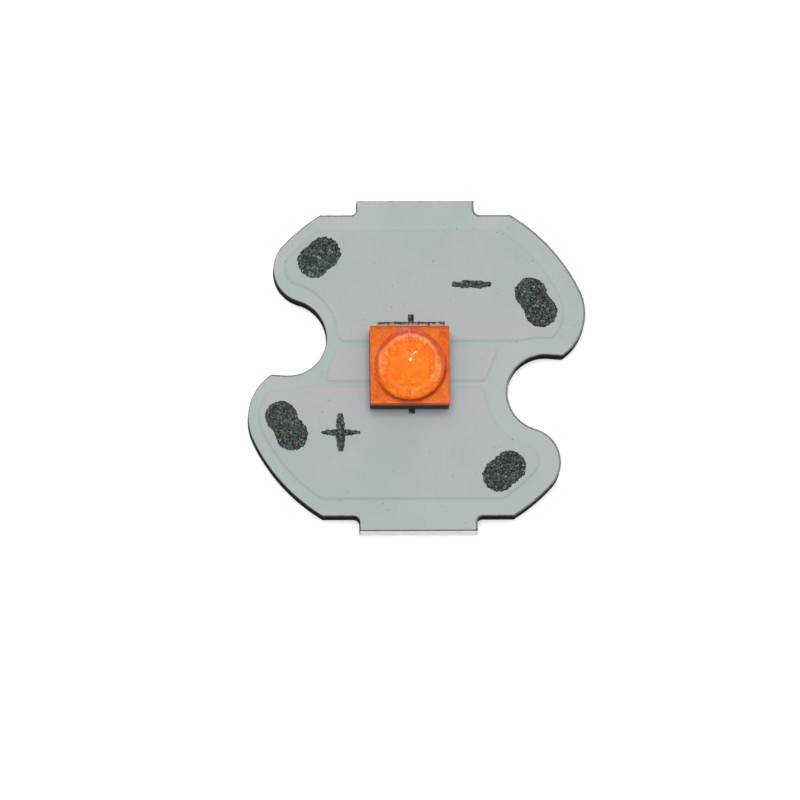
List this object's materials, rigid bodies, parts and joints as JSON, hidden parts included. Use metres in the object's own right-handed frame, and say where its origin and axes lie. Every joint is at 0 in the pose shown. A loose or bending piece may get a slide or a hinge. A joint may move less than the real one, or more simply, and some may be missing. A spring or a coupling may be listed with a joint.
{
  "type": "high-power led on a star board",
  "caption": "Domed orange phosphor-coated ceramic LED emitter soldered to a round aluminium-core board with side screw notches, wire pads and polarity marks.",
  "frame": {"origin": "centre of the punched board's flat underside", "axes": "+Z out of the dome, +Y towards the tab on the cathode side, +X to the right seen from above"},
  "size_m": [0.015, 0.015, 0.0041],
  "materials": {
    "aluminium": "punched and milled sheet, satin",
    "dielectric": "filled resin, dull grey",
    "copper": "etched copper",
    "mask": "pale grey lacquer, semi-matt",
    "tin": "hot-air levelled tin, dark and grainy",
    "solder": "reflowed solder",
    "ceramic": "sintered ceramic, fine grain",
    "gold": "gold-plated metal",
    "die": "polished semiconductor",
    "phosphor": "orange phosphor in silicone, speckled",
    "silicone": "clear silicone, polished"
  },
  "bodies": {
    "root": {"aluminium_base": "aluminium", "dielectric_layer": "dielectric", "solder_mask": "mask", "cathode_copper": "copper", "thermal_copper": "copper", "anode_copper": "copper", "cathode_solder_joint": "solder", "thermal_solder_joint": "solder", "anode_solder_joint": "solder", "cathode_land": "gold", "thermal_land": "gold", "anode_land": "gold", "cathode_pad_tin_left": "tin", "cathode_pad_tin_right": "tin", "anode_pad_tin_left": "tin", "anode_pad_tin_right": "tin", "minus_mark_tin": "tin", "plus_mark_tin": "tin", "cathode_tick_tin": "tin", "anode_tick_tin": "tin", "ceramic_substrate": "ceramic", "cathode_vias": "copper", "anode_vias": "copper", "cathode_top_metal": "gold", "anode_top_metal": "gold", "die_pad": "gold", "die_attach": "solder", "led_die": "die", "cathode_bond_wire": "gold", "anode_bond_wire": "gold", "protection_diode": "die", "diode_bond_wire": "gold", "phosphor_coat": "phosphor", "dome_lens": "silicone"}
  },
  "joints": []
}
